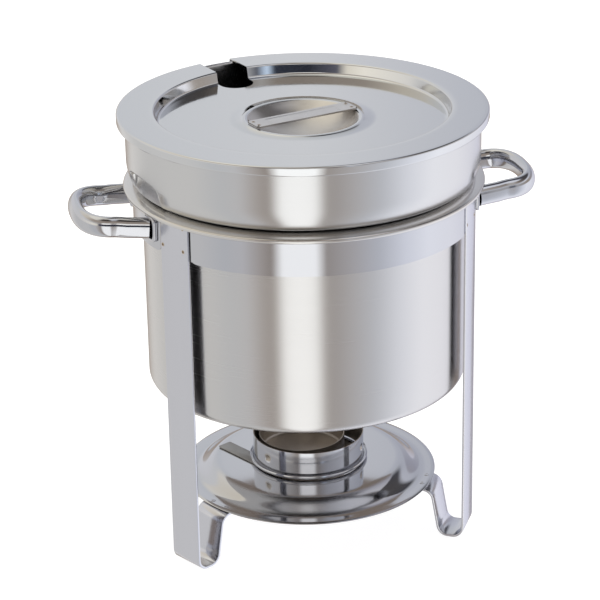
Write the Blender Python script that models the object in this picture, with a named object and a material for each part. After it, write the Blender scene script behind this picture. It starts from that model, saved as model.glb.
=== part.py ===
"""Soup kettle: a covered food inset in a water pan, carried by a three-legged strap stand over a fuel holder.

Metres, +Z up. The origin is on the kettle's upright axis at table height. The front of the stand is -Y,
the carry handles lie along X, and azimuths are counted from -Y towards +X.
"""
import math

import bmesh
import bpy
from mathutils import Matrix, Vector

for old_object in list(bpy.data.objects):
    bpy.data.objects.remove(old_object, do_unlink=True)

MM = 0.001
GAP = 0.3 * MM                      # clearance between pieces that touch

# Driving dimensions: water pan
PAN_RADIUS = 132.0 * MM             # outside of the wall
PAN_SHEET = 1.0 * MM
PAN_FLOOR_Z = 134.0 * MM            # underside of the pan above the table
PAN_HEIGHT = 174.0 * MM             # underside to the crest of the flange
PAN_CORNER = 8.0 * MM
PAN_FLARE = 6.2 * MM                # the wall flares out by this much to the crest of the flange
PAN_OVERHANG = 6.4 * MM             # the rolled edge stands this far outside the legs
PAN_FLANGE_DROP = 2.8 * MM
PAN_ROLL = 2.0 * MM                 # radius of the rolled edge

# Driving dimensions: food inset
INSET_SHEET = 1.0 * MM
INSET_CLEARANCE = 3.5 * MM          # between the inset's body and the pan's wall
WATER_DEPTH = 20.3 * MM             # between the floors of the pan and the inset
INSET_CORNER = 14.0 * MM
DRUM_STEP = 5.3 * MM                # the drum stands this far outside its seat
DRUM_HEIGHT = 54.9 * MM             # seat to the top of the drum
SHOULDER_HEIGHT = 17.5 * MM         # seat to the bottom of the drum's upright wall
SHOULDER_BULGE = 0.78               # share of the step already made half-way up the shoulder
DRUM_ROLL = 2.0 * MM                # radius of the drum's rolled top edge
RECESS_WIDTH = 58.0 * MM            # finger recesses pressed into the foot of the drum
RECESS_RISE = 4.0 * MM
RECESS_DEPTH = 7.0 * MM
RECESS_AZIMUTH = -77.0              # degrees; the second one is opposite

# Driving dimensions: lid
LID_SHEET = 1.0 * MM
LID_SKIRT_CLEARANCE = 2.5 * MM      # around the drum's rolled edge
LID_SKIRT = 7.5 * MM
LID_RIM = 30.5 * MM                 # width of the flat rim
LID_RECESS = 10.0 * MM              # depth of the sunk middle
LID_WALL_TAPER = 1.5 * MM
DISH_RADIUS = 44.3 * MM             # the hollow under the strap handle
DISH_DEPTH = 16.0 * MM
DISH_BEAD = 6.0 * MM                # width of the raised bead around the hollow
DISH_BEAD_RISE = 1.0 * MM
NOTCH_WIDTH = 29.0 * MM             # slot for the ladle
NOTCH_REACH = 53.0 * MM             # rim to the round end of the slot
NOTCH_AZIMUTH = -163.0
STRAP_LENGTH = 94.0 * MM
STRAP_WIDTH = 18.0 * MM
STRAP_SHEET = 1.5 * MM

# Driving dimensions: stand
BAND_CLEARANCE = 6.0 * MM           # around the pan's wall
BAND_SHEET = 1.5 * MM
BAND_HEIGHT = 32.7 * MM
BAND_JOGGLE = 2.3 * MM              # the ends step in behind the legs
BAND_JOGGLE_RUN = 2.0 * MM          # length of the step
BAND_REVEAL = 2.5 * MM              # open slot between a leg's edge and the joggle
BAND_LAP = 11.0 * MM                # length of the end behind the leg
LEG_COUNT = 3
LEG_WIDTH = 32.0 * MM
LEG_SHEET = 2.0 * MM
FOOT_DEPTH = 23.5 * MM              # outer strap to inner strap
FOOT_FLAT = 4.0 * MM                # flat under the bend
FOOT_LEAN = 10.0                    # degrees by which the inner strap leans inwards
FOOT_TAB_BEND = 8.0 * MM            # bend between the inner strap and its tab
TAB_LAP = 10.5 * MM                 # under the tray's flange
TRAY_RADIUS = 107.5 * MM
TRAY_SHEET = 1.2 * MM
TRAY_FLANGE = 12.0 * MM
TRAY_FLANGE_Z = 43.3 * MM
TRAY_PLATEAU_RADIUS = 78.0 * MM
TRAY_PLATEAU_RISE = 9.4 * MM

# Driving dimensions: carry handles
HANDLE_SPREAD = 84.0 * MM           # between the tube ends
HANDLE_WAIST = 76.0 * MM            # between the tubes where the bow starts
HANDLE_REACH = 47.0 * MM            # band to the middle of the tube at the tip
HANDLE_BOW = 25.0 * MM              # depth of the bow
HANDLE_RISE = 4.0 * MM              # the tip stands higher than the ends
HANDLE_LEAN = 2.0 * MM              # the ends splay by this much on each side
HANDLE_SHANK = 9.0 * MM             # straight length before the bow
HANDLE_SQUARENESS = 0.8             # 1 bows the tube as an ellipse, less squares its corners
TUBE_HEIGHT = 17.0 * MM
TUBE_DEPTH = 12.0 * MM
TUBE_SHEET = 1.2 * MM
PLATE_WIDTH = 18.0 * MM
PLATE_HEIGHT = 22.0 * MM
PLATE_SHEET = 3.0 * MM

# Driving dimensions: fuel holder
RING_RADIUS = 46.8 * MM
RING_SHEET = 0.8 * MM
RING_HEIGHT = 22.4 * MM
RING_ROLL = 1.2 * MM                # radius of the rolled foot
CUP_RADIUS = 37.0 * MM
CUP_SHEET = 0.8 * MM
CUP_HEIGHT = 17.5 * MM
CUP_CORNER = 4.0 * MM
CUP_EDGE_CLEARANCE = 0.8 * MM       # the cup stands off-centre, this close to the ring on the grip's side
GRIP_WIDTH = 13.0 * MM
GRIP_SHEET = 1.0 * MM
GRIP_LENGTH = 65.0 * MM
GRIP_OFFSET = 39.0 * MM             # axis of the holder to the middle of the grip
GRIP_AZIMUTH = -151.0               # direction in which the grip points

# Places that follow from the sizes
PAN_CREST_Z = PAN_FLOOR_Z + PAN_HEIGHT
SEAT_RADIUS = PAN_RADIUS + PAN_FLARE
SEAT_Z = PAN_CREST_Z + GAP
DRUM_RADIUS = SEAT_RADIUS + DRUM_STEP
DRUM_EDGE_RADIUS = DRUM_RADIUS + 2 * DRUM_ROLL - INSET_SHEET
DRUM_TOP_Z = SEAT_Z + DRUM_HEIGHT
LID_TOP_Z = DRUM_TOP_Z + GAP + LID_SHEET
LID_RADIUS = DRUM_EDGE_RADIUS + LID_SKIRT_CLEARANCE + LID_SHEET
BAND_RADIUS = PAN_RADIUS + BAND_CLEARANCE + BAND_SHEET
LEG_CORNER_RADIUS = math.hypot(BAND_RADIUS, LEG_WIDTH / 2)
PAN_EDGE_RADIUS = LEG_CORNER_RADIUS + PAN_OVERHANG
FLANGE_SLOPE = PAN_FLANGE_DROP / (PAN_EDGE_RADIUS - PAN_ROLL - SEAT_RADIUS)
BAND_TOP_Z = (PAN_CREST_Z - 1.1 * PAN_SHEET - GAP
              - FLANGE_SLOPE * (LEG_CORNER_RADIUS - SEAT_RADIUS + PAN_FLARE / 5))
HANDLE_Z = BAND_TOP_Z - BAND_HEIGHT / 2
PLATEAU_Z = TRAY_FLANGE_Z + TRAY_PLATEAU_RISE
GRIP_Z = PLATEAU_Z + GAP
RING_Z = GRIP_Z + GRIP_SHEET + GAP
CUP_OFFSET = RING_RADIUS - RING_SHEET - CUP_RADIUS - CUP_EDGE_CLEARANCE
TURN_STEPS = 72
SMALL_TURN_STEPS = 48


def arc(centre, radius, start, end, steps):
    """Points of a circular arc in the (radius, height) plane, angles in degrees."""
    points = []
    for step in range(steps + 1):
        angle = math.radians(start + (end - start) * step / steps)
        points.append((centre[0] + radius * math.cos(angle), centre[1] + radius * math.sin(angle)))
    return points


def sheet(path, thickness):
    """Closed outline of a sheet: the path, and the path offset to its right. Points on the axis stay on it."""
    offset = []
    for index, point in enumerate(path):
        here = Vector(point)
        before = (here - Vector(path[index - 1])).normalized() if index else None
        after = (Vector(path[index + 1]) - here).normalized() if index < len(path) - 1 else None
        sides = [Vector((way.y, -way.x)) for way in (before, after) if way is not None]
        mean = sum(sides, Vector((0, 0))).normalized()
        moved = here + mean * thickness / max(mean.dot(sides[0]), 0.5)
        offset.append((0.0 if point[0] == 0 else moved.x, moved.y))
    return list(path) + offset[::-1]


def steel(name, colour, roughness):
    """Stainless steel; a Principled material with the finish of one sub-part."""
    material = bpy.data.materials.new(name)
    material.use_nodes = True
    shader = material.node_tree.nodes["Principled BSDF"]
    shader.inputs["Base Color"].default_value = (*colour, 1.0)
    shader.inputs["Metallic"].default_value = 1.0
    shader.inputs["Roughness"].default_value = roughness
    return material


def add_object(name, mesh, material, parent=None):
    """Link a mesh as a named sub-part, shaded smooth between its sharp bends."""
    mesh.materials.append(material)
    mesh.shade_smooth()
    mesh.set_sharp_from_angle(angle=math.radians(35))
    sub_part = bpy.data.objects.new(name, mesh)
    bpy.context.scene.collection.objects.link(sub_part)
    sub_part.parent = parent
    return sub_part


def turned(name, outline, steps):
    """Mesh turned about Z from a closed outline of (radius, height) points."""
    shape = bmesh.new()
    corners = [shape.verts.new((radius, 0, height)) for radius, height in outline]
    closed = outline[0][0] > 0 or outline[-1][0] > 0
    count = len(corners) if closed else len(corners) - 1
    edges = [shape.edges.new((corners[i], corners[(i + 1) % len(corners)])) for i in range(count)]
    bmesh.ops.spin(shape, geom=corners + edges, axis=(0, 0, 1), cent=(0, 0, 0),
                   angle=2 * math.pi, steps=steps, use_merge=True)
    bmesh.ops.remove_doubles(shape, verts=shape.verts, dist=1e-6)
    bmesh.ops.recalc_face_normals(shape, faces=shape.faces)
    mesh = bpy.data.meshes.new(name)
    shape.to_mesh(mesh)
    shape.free()
    return mesh


def extruded(name, outline, width, place):
    """Mesh of an (outward, height) outline extruded across its width, then placed."""
    shape = bmesh.new()
    corners = [shape.verts.new((-width / 2, -outward, height)) for outward, height in outline]
    face = shape.faces.new(corners)
    extrusion = bmesh.ops.extrude_face_region(shape, geom=[face])
    moved = [item for item in extrusion["geom"] if isinstance(item, bmesh.types.BMVert)]
    bmesh.ops.translate(shape, verts=moved, vec=(width, 0, 0))
    bmesh.ops.recalc_face_normals(shape, faces=shape.faces)
    bmesh.ops.transform(shape, matrix=place, verts=shape.verts)
    mesh = bpy.data.meshes.new(name)
    shape.to_mesh(mesh)
    shape.free()
    return mesh


def swept(name, rings, closed_loop):
    """Mesh through rings of points; the ends are capped, or joined to each other."""
    shape = bmesh.new()
    rows = [[shape.verts.new(point) for point in ring] for ring in rings]
    pairs = list(zip(rows, rows[1:]))
    if closed_loop:
        pairs.append((rows[-1], rows[0]))
    for first, second in pairs:
        for i in range(len(first)):
            j = (i + 1) % len(first)
            shape.faces.new((first[i], first[j], second[j], second[i]))
    if not closed_loop:
        shape.faces.new(rows[0][::-1])
        shape.faces.new(rows[-1])
    bmesh.ops.recalc_face_normals(shape, faces=shape.faces)
    mesh = bpy.data.meshes.new(name)
    shape.to_mesh(mesh)
    shape.free()
    return mesh


def facing(azimuth):
    """Turn about Z that brings the -Y side round to an azimuth in degrees."""
    return Matrix.Rotation(math.radians(azimuth), 4, "Z")


def on_circle(radius, azimuth, height):
    angle = math.radians(azimuth)
    return Vector((radius * math.sin(angle), -radius * math.cos(angle), height))


BRUSHED = steel("brushed_stainless", (0.60, 0.59, 0.58), 0.32)
SATIN = steel("satin_stainless", (0.66, 0.67, 0.69), 0.22)
POLISHED = steel("polished_stainless", (0.68, 0.68, 0.70), 0.08)
INNER = steel("plain_stainless", (0.55, 0.54, 0.53), 0.30)

# Empties on which the lifted pieces hang; each is on the joint's axis
lifts = {}
for lift in ("water_pan_lift", "inset_lift", "lid_lift", "fuel_holder_slide", "fuel_cup_lift"):
    lifts[lift] = bpy.data.objects.new(lift, None)
    bpy.context.scene.collection.objects.link(lifts[lift])
lifts["inset_lift"].parent = lifts["water_pan_lift"]
lifts["lid_lift"].parent = lifts["inset_lift"]
lifts["fuel_cup_lift"].parent = lifts["fuel_holder_slide"]

# Water pan: a drawn pot whose flange slopes down to a rolled edge and hangs on the stand's band
pan_inner = PAN_RADIUS - PAN_SHEET
pan_inside = [(0, PAN_FLOOR_Z + PAN_SHEET)]
pan_inside += arc((pan_inner - PAN_CORNER + PAN_SHEET, PAN_FLOOR_Z + PAN_CORNER),
                  PAN_CORNER - PAN_SHEET, -90, 0, 4)
flare = SEAT_RADIUS - pan_inner
pan_inside += arc((pan_inner + flare, PAN_CREST_Z - flare), flare, 180, 100, 5)
roll_centre = (PAN_EDGE_RADIUS - PAN_ROLL, PAN_CREST_Z - PAN_FLANGE_DROP - PAN_ROLL)
pan_inside += arc(roll_centre, PAN_ROLL, 75, -110, 7)
pan_wall = turned("water_pan", sheet(pan_inside, PAN_SHEET), TURN_STEPS)
add_object("water_pan", pan_wall, BRUSHED, lifts["water_pan_lift"])

# Food inset: its body drops into the pan, its drum stands on the pan's flange by a coned shoulder
body_radius = pan_inner - INSET_CLEARANCE
floor_z = PAN_FLOOR_Z + PAN_SHEET + WATER_DEPTH
inset_outside = [(0, floor_z)]
inset_outside += arc((body_radius - INSET_CORNER, floor_z + INSET_CORNER), INSET_CORNER, -90, 0, 4)
inset_flare = SEAT_RADIUS - body_radius
inset_outside += arc((SEAT_RADIUS, SEAT_Z - inset_flare), inset_flare, 180, 110, 4)
inset_outside.append((SEAT_RADIUS, SEAT_Z + GAP))
for share in (0.5, 1.0):
    inset_outside.append((SEAT_RADIUS + SHOULDER_BULGE * DRUM_STEP * share, SEAT_Z + SHOULDER_HEIGHT * share / 2))
inset_outside.append((DRUM_RADIUS, SEAT_Z + SHOULDER_HEIGHT))
inset_outside.append((DRUM_RADIUS, SEAT_Z + SHOULDER_HEIGHT + RECESS_RISE))
inset_outside += arc((DRUM_EDGE_RADIUS - DRUM_ROLL, DRUM_TOP_Z - DRUM_ROLL),
                     DRUM_ROLL - INSET_SHEET, 180, -60, 7)
inset_mesh = turned("food_inset", sheet(inset_outside, -INSET_SHEET), TURN_STEPS)
recess_half = math.degrees(RECESS_WIDTH / 2 / DRUM_RADIUS)
for corner in inset_mesh.vertices:
    azimuth = math.degrees(math.atan2(corner.co.x, -corner.co.y)) - RECESS_AZIMUTH
    off_centre = abs((azimuth + 90.0) % 180.0 - 90.0) / recess_half
    up = (corner.co.z - SEAT_Z) / (SHOULDER_HEIGHT + RECESS_RISE)
    if off_centre < 1 and 0.05 < up < 0.99 and corner.co.xy.length > SEAT_RADIUS - INSET_SHEET:
        inward = RECESS_DEPTH * math.cos(off_centre * math.pi / 2) * min(1.0, 2.2 * (1 - up))
        corner.co.xy *= 1 - inward / DRUM_RADIUS
add_object("food_inset", inset_mesh, BRUSHED, lifts["inset_lift"])

# Lid: flat rim with a short skirt, a sunk middle with a hollow for the fingers, and a slot for the ladle
lid_floor = LID_TOP_Z - LID_RECESS
wall_radius = LID_RADIUS - LID_RIM
lid_top = [(0, lid_floor - DISH_DEPTH)]
bowl_radius = (DISH_RADIUS ** 2 + DISH_DEPTH ** 2) / (2 * DISH_DEPTH)
bowl_angle = math.degrees(math.asin(DISH_RADIUS / bowl_radius))
lid_top += arc((0, lid_floor - DISH_DEPTH + bowl_radius), bowl_radius, -90, bowl_angle - 90, 6)[1:]
lid_top += [(DISH_RADIUS + DISH_BEAD * share, lid_floor + DISH_BEAD_RISE * rise)
            for share, rise in ((0.2, 1.0), (0.6, 1.0), (1.0, 0.0))]
lid_top += [(wall_radius - LID_WALL_TAPER, lid_floor), (wall_radius, LID_TOP_Z)]
lid_top += arc((LID_RADIUS - 2.5 * LID_SHEET, LID_TOP_Z - 2.5 * LID_SHEET), 2.5 * LID_SHEET, 90, 0, 3)
lid_top.append((LID_RADIUS, LID_TOP_Z - LID_SKIRT))
lid = add_object("lid_cover", turned("lid_cover", sheet(lid_top, LID_SHEET), TURN_STEPS),
                 SATIN, lifts["lid_lift"])
slot_outline = arc((LID_RADIUS - NOTCH_REACH + NOTCH_WIDTH / 2, 0), NOTCH_WIDTH / 2, 90, 270, 10)
slot_outline += [(2 * LID_RADIUS, -NOTCH_WIDTH / 2), (2 * LID_RADIUS, NOTCH_WIDTH / 2)]
slot_rings = []
for height in (lid_floor - DISH_DEPTH, LID_TOP_Z + LID_SKIRT):
    slot_rings.append([facing(NOTCH_AZIMUTH) @ Vector((across, -out, height)) for out, across in slot_outline])
slot = bpy.data.objects.new("ladle_slot_cutter", swept("ladle_slot_cutter", slot_rings, False))
bpy.context.scene.collection.objects.link(slot)
slot.parent = lifts["lid_lift"]
slot.hide_render = True
slot.display_type = "WIRE"
cut = lid.modifiers.new("ladle_slot", "BOOLEAN")
cut.operation = "DIFFERENCE"
cut.solver = "EXACT"
cut.object = slot

# Strap handle, welded across the hollow, square to the ladle slot
strap_z = lid_floor + DISH_BEAD_RISE + GAP
strap_outline = [(-STRAP_LENGTH / 2, strap_z), (STRAP_LENGTH / 2, strap_z),
                 (STRAP_LENGTH / 2, strap_z + STRAP_SHEET), (-STRAP_LENGTH / 2, strap_z + STRAP_SHEET)]
add_object("lid_strap_handle", extruded("lid_strap_handle", strap_outline, STRAP_WIDTH,
                                        facing(NOTCH_AZIMUTH + 90)), SATIN, lifts["lid_lift"])


# Stand legs: flat straps bent up under the tray, so that each foot is a narrow U
def leg_path():
    outer = BAND_RADIUS
    inner = outer - FOOT_DEPTH
    bend = (FOOT_DEPTH - FOOT_FLAT) / 2
    tab_z = TRAY_FLANGE_Z - TRAY_SHEET - GAP - LEG_SHEET
    path = [(outer, BAND_TOP_Z)]
    path += arc((outer - bend, bend), bend, 0, -90, 5)
    path += arc((inner + bend, bend), bend, -90, FOOT_LEAN - 180, 5)
    lean = math.radians(FOOT_LEAN)
    strap_end_z = tab_z - FOOT_TAB_BEND * (1 - math.sin(lean))
    strap_end = path[-1][0] - (strap_end_z - path[-1][1]) * math.tan(lean)
    path += arc((strap_end - FOOT_TAB_BEND * math.cos(lean), tab_z - FOOT_TAB_BEND),
                FOOT_TAB_BEND, FOOT_LEAN, 90, 4)
    path.append((TRAY_RADIUS - TAB_LAP, tab_z))
    return path


leg_azimuths = {"leg_front_left": -180 / LEG_COUNT, "leg_front_right": 180 / LEG_COUNT, "leg_back": 180}
for name, azimuth in leg_azimuths.items():
    add_object(name, extruded(name, sheet(leg_path(), LEG_SHEET), LEG_WIDTH, facing(azimuth)), SATIN)

# Band: three segments between the legs, with ends that step in behind the legs' edges
leg_half = math.degrees(math.asin((LEG_WIDTH / 2 + BAND_REVEAL) / BAND_RADIUS))
lap_angle = math.degrees((BAND_LAP + BAND_REVEAL) / BAND_RADIUS)
joggle_angle = math.degrees(BAND_JOGGLE_RUN / BAND_RADIUS)
segment_angle = 360 / LEG_COUNT


def band_segment(name, middle):
    """A band segment centred on one azimuth, as a row of upright rectangles along its arc."""
    half = segment_angle / 2 - leg_half
    stations = [(-half - lap_angle, BAND_JOGGLE), (-half - joggle_angle, BAND_JOGGLE)]
    steps = 20
    stations += [(-half + 2 * half * step / steps, 0.0) for step in range(steps + 1)]
    stations += [(half + joggle_angle, BAND_JOGGLE), (half + lap_angle, BAND_JOGGLE)]
    rings = []
    for azimuth, inward in stations:
        outer = BAND_RADIUS - inward
        rings.append([on_circle(outer, middle + azimuth, BAND_TOP_Z),
                      on_circle(outer - BAND_SHEET, middle + azimuth, BAND_TOP_Z),
                      on_circle(outer - BAND_SHEET, middle + azimuth, BAND_TOP_Z - BAND_HEIGHT),
                      on_circle(outer, middle + azimuth, BAND_TOP_Z - BAND_HEIGHT)])
    return swept(name, rings, False)


segment_middles = {"band_front": 0, "band_right": segment_angle, "band_left": -segment_angle}
for name, middle in segment_middles.items():
    add_object(name, band_segment(name, middle), POLISHED)

# Fuel tray: a dished disc, flange down and plateau up, welded on the legs' tabs
flange_inner = TRAY_RADIUS - TRAY_FLANGE
tray_top = [(0, PLATEAU_Z), (TRAY_PLATEAU_RADIUS - 2 * MM, PLATEAU_Z),
            (TRAY_PLATEAU_RADIUS + 1 * MM, PLATEAU_Z - 0.6 * MM)]
tray_top += [(flange_inner - 1.5 * MM, TRAY_FLANGE_Z + 0.7 * MM), (flange_inner + 1.0 * MM, TRAY_FLANGE_Z),
             (TRAY_RADIUS, TRAY_FLANGE_Z)]
add_object("fuel_tray", turned("fuel_tray", sheet(tray_top, TRAY_SHEET), TURN_STEPS), POLISHED)


# Carry handles: oval tubes bowed out from the band, each end cut to its plate
def handle_path():
    start = BAND_RADIUS + GAP + PLATE_SHEET
    spread_angle = math.asin(HANDLE_SPREAD / 2 / BAND_RADIUS)
    tip = BAND_RADIUS + HANDLE_REACH
    bow_start = tip - HANDLE_BOW
    path = [(start * math.cos(spread_angle), -HANDLE_SPREAD / 2)]
    path.append((bow_start - HANDLE_SHANK, -HANDLE_WAIST / 2 - HANDLE_LEAN))
    for step in range(13):
        angle = math.radians(-90 + 180 * step / 12)
        out = math.copysign(abs(math.cos(angle)) ** HANDLE_SQUARENESS, math.cos(angle))
        across = math.copysign(abs(math.sin(angle)) ** HANDLE_SQUARENESS, math.sin(angle))
        path.append((bow_start + HANDLE_BOW * out, HANDLE_WAIST / 2 * across))
    path.append((bow_start - HANDLE_SHANK, HANDLE_WAIST / 2 + HANDLE_LEAN))
    path.append((start * math.cos(spread_angle), HANDLE_SPREAD / 2))
    return path


def handle_tube(name, azimuth):
    path = handle_path()
    root = path[0][0]
    spread_angle = math.asin(HANDLE_SPREAD / 2 / BAND_RADIUS)
    tilt = HANDLE_RISE / (BAND_RADIUS + HANDLE_REACH - root)
    corners = 12
    outer_rings, inner_rings = [], []
    for index, (out, across) in enumerate(path):
        before = Vector(path[max(index - 1, 0)])
        after = Vector(path[min(index + 1, len(path) - 1)])
        way = (after - before).normalized()
        side = Vector((way.y, -way.x))
        for rings, shrink in ((outer_rings, 0.0), (inner_rings, TUBE_SHEET)):
            ring = []
            for corner in range(corners):
                angle = 2 * math.pi * corner / corners
                wide = (TUBE_DEPTH / 2 - shrink) * math.cos(angle)
                high = (TUBE_HEIGHT / 2 - shrink) * math.sin(angle)
                point = Vector((out, across)) + side * wide
                if index in (0, len(path) - 1):
                    # slide each end point along the tube until it lies in its plate's plane
                    sign = -1 if index == 0 else 1
                    normal = Vector((math.cos(spread_angle), sign * math.sin(spread_angle)))
                    plane = BAND_RADIUS + PLATE_SHEET + 2 * GAP
                    point += way * (plane - point.dot(normal)) / way.dot(normal)
                ring.append(facing(azimuth) @ Vector((point.y, -point.x,
                                                      HANDLE_Z + high + (point.x - root) * tilt)))
            rings.append(ring)
    return swept(name, outer_rings + inner_rings[::-1], True)


def handle_plate(name, azimuth):
    """Thick oval pad between the band and a tube end."""
    rings = []
    for out in (BAND_RADIUS + GAP, BAND_RADIUS + GAP + PLATE_SHEET):
        rings.append([facing(azimuth) @ Vector((PLATE_WIDTH / 2 * math.cos(2 * math.pi * k / 24), -out,
                                                HANDLE_Z + PLATE_HEIGHT / 2 * math.sin(2 * math.pi * k / 24)))
                      for k in range(24)])
    return swept(name, rings, False)


plate_angle = math.degrees(math.asin(HANDLE_SPREAD / 2 / BAND_RADIUS))
for side, azimuth in (("left", -90), ("right", 90)):
    add_object("carry_handle_" + side, handle_tube("carry_handle_" + side, azimuth), POLISHED)
    for end, turn in (("front", -1), ("back", 1)):
        offset = turn * plate_angle * (1 if side == "right" else -1)
        name = "handle_plate_" + side + "_" + end
        add_object(name, handle_plate(name, azimuth + offset), POLISHED)

# Fuel holder: a ring with a rolled foot, welded on a flat grip that lies on the tray
ring_outside = [(RING_RADIUS, RING_Z + RING_HEIGHT)]
ring_outside += arc((RING_RADIUS + RING_ROLL - RING_SHEET, RING_Z + RING_ROLL),
                    RING_ROLL - RING_SHEET, 180, 400, 7)
add_object("fuel_ring", turned("fuel_ring", sheet(ring_outside, RING_SHEET), SMALL_TURN_STEPS),
           POLISHED, lifts["fuel_holder_slide"])
grip_outline = [(0, GRIP_Z), (GRIP_LENGTH, GRIP_Z), (GRIP_LENGTH, GRIP_Z + GRIP_SHEET), (0, GRIP_Z + GRIP_SHEET)]
grip_place = facing(GRIP_AZIMUTH) @ Matrix.Translation((GRIP_OFFSET, 0, 0))
add_object("fuel_holder_grip", extruded("fuel_holder_grip", grip_outline, GRIP_WIDTH, grip_place),
           SATIN, lifts["fuel_holder_slide"])

# Fuel cup: a loose open cup inside the ring
cup_outside = [(0, RING_Z)]
cup_outside += arc((CUP_RADIUS - CUP_CORNER, RING_Z + CUP_CORNER), CUP_CORNER, -90, 0, 4)
cup_outside.append((CUP_RADIUS, RING_Z + CUP_HEIGHT))
cup_mesh = turned("fuel_cup", sheet(cup_outside, -CUP_SHEET), SMALL_TURN_STEPS)
cup_mesh.transform(Matrix.Translation(on_circle(CUP_OFFSET, GRIP_AZIMUTH, 0)))
add_object("fuel_cup", cup_mesh, INNER, lifts["fuel_cup_lift"])
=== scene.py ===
import math

import bpy
from mathutils import Matrix, Quaternion, Vector


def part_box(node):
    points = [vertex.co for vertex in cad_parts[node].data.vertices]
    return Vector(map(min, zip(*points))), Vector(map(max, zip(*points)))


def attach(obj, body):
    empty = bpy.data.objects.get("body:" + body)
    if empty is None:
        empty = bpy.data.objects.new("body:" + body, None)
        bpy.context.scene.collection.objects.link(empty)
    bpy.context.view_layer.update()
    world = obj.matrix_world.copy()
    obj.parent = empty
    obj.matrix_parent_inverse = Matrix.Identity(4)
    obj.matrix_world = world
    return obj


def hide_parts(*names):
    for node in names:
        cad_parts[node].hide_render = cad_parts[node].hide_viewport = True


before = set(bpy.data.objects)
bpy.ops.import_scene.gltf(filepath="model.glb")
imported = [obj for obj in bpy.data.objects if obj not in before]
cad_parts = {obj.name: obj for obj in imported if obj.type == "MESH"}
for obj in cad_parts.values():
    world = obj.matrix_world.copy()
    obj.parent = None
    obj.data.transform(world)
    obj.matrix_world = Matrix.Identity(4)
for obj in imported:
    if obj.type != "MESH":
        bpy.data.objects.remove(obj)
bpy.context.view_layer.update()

MM = 0.001


# Water pan. The outer pot that holds the hot water: drawn from one disc of 18/10 stainless steel,
# with a flange that slopes down to a rolled edge and hangs on the stand's band. Its wall is brushed
# round the pot on a lathe.
def linear(hex_colour):
    """An sRGB hex colour as linear RGBA."""
    channels = [int(hex_colour[i:i + 2], 16) / 255 for i in (1, 3, 5)]
    return [c / 12.92 if c <= 0.04045 else ((c + 0.055) / 1.055) ** 2.4 for c in channels] + [1.0]


def add_node(tree, kind, settings, links):
    """Add a node; settings are properties or socket values, links join its inputs to outputs."""
    made = tree.nodes.new(kind)
    for name, value in settings.items():
        if isinstance(name, str) and hasattr(made, name):
            setattr(made, name, value)
        else:
            made.inputs[name].default_value = value
    for name, output in links.items():
        tree.links.new(output, made.inputs[name])
    return made


def stainless(name, colour, roughness, spread, grain, grain_depth, anisotropy, waviness):
    """Stainless sheet. grain is the Mapping scale of the finish's lines, per metre along X, Y and Z;
    spread is how far the lines change the roughness, and waviness the height of the sheet's long waves."""
    material = bpy.data.materials.new(name)
    material.use_nodes = True
    tree = material.node_tree
    shader = tree.nodes["Principled BSDF"]
    shader.inputs["Base Color"].default_value = linear(colour)
    shader.inputs["Metallic"].default_value = 1.0
    shader.inputs["Anisotropic"].default_value = anisotropy
    place = add_node(tree, "ShaderNodeTexCoord", {}, {})
    stretched = add_node(tree, "ShaderNodeMapping", {"Scale": grain}, {"Vector": place.outputs["Object"]})
    lines = add_node(tree, "ShaderNodeTexNoise", {"Scale": 1.0, "Detail": 5.0, "Roughness": 0.65},
                     {"Vector": stretched.outputs["Vector"]})
    smudges = add_node(tree, "ShaderNodeTexNoise", {"Scale": 14.0, "Detail": 3.0, "Roughness": 0.5},
                       {"Vector": place.outputs["Object"]})
    mixed = add_node(tree, "ShaderNodeMath", {"operation": "MULTIPLY_ADD", 1: 0.35},
                     {0: smudges.outputs["Fac"], 2: lines.outputs["Fac"]})
    rough = add_node(tree, "ShaderNodeMapRange", {"From Min": 0.4, "From Max": 0.95,
                                                  "To Min": roughness - spread, "To Max": roughness + spread},
                     {"Value": mixed.outputs["Value"]})
    tree.links.new(rough.outputs["Result"], shader.inputs["Roughness"])
    fine = add_node(tree, "ShaderNodeBump", {"Strength": 1.0, "Distance": grain_depth},
                    {"Height": lines.outputs["Fac"]})
    long_waves = add_node(tree, "ShaderNodeTexNoise", {"Scale": 22.0, "Detail": 1.0},
                          {"Vector": place.outputs["Object"]})
    sheet_waves = add_node(tree, "ShaderNodeBump", {"Strength": 1.0, "Distance": waviness},
                           {"Height": long_waves.outputs["Fac"], "Normal": fine.outputs["Normal"]})
    tree.links.new(sheet_waves.outputs["Normal"], shader.inputs["Normal"])
    if anisotropy:
        # the brush ran round the kettle's axis, so highlights spread across the lines
        shader.inputs["Anisotropic Rotation"].default_value = 0.25
        around = add_node(tree, "ShaderNodeVectorMath", {"operation": "CROSS_PRODUCT", 0: (0, 0, 1)},
                          {1: place.outputs["Object"]})
        tree.links.new(around.outputs["Vector"], shader.inputs["Tangent"])
    return material


def select(piece, chosen):
    """In edit mode, select only the vertices whose place passes the test."""
    bpy.ops.object.mode_set(mode="OBJECT")
    for element in (*piece.data.polygons, *piece.data.edges, *piece.data.vertices):
        element.select = False
    for corner in piece.data.vertices:
        corner.select = chosen(corner.co)
    bpy.ops.object.mode_set(mode="EDIT")
    bpy.ops.mesh.select_mode(type="VERT")


def finish_piece(piece, name, material, body, cad_node, crease=40):
    """Settle the piece's place in its mesh, shade it, and let it stand for its CAD node."""
    bpy.ops.object.transform_apply(location=True, rotation=True, scale=True)
    piece.name = name
    piece.data.materials.clear()
    piece.data.materials.append(material)
    bpy.ops.object.shade_smooth_by_angle(angle=math.radians(crease))
    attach(piece, body)
    if cad_node:
        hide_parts(cad_node)
    piece.select_set(False)
    return piece


def apply_modifier(piece, kind, **settings):
    """Add one modifier to the piece, set it and apply it."""
    added = piece.modifiers.new(kind.lower(), kind)
    for name, value in settings.items():
        setattr(added, name, value)
    bpy.ops.object.modifier_apply(modifier=added.name)


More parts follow.
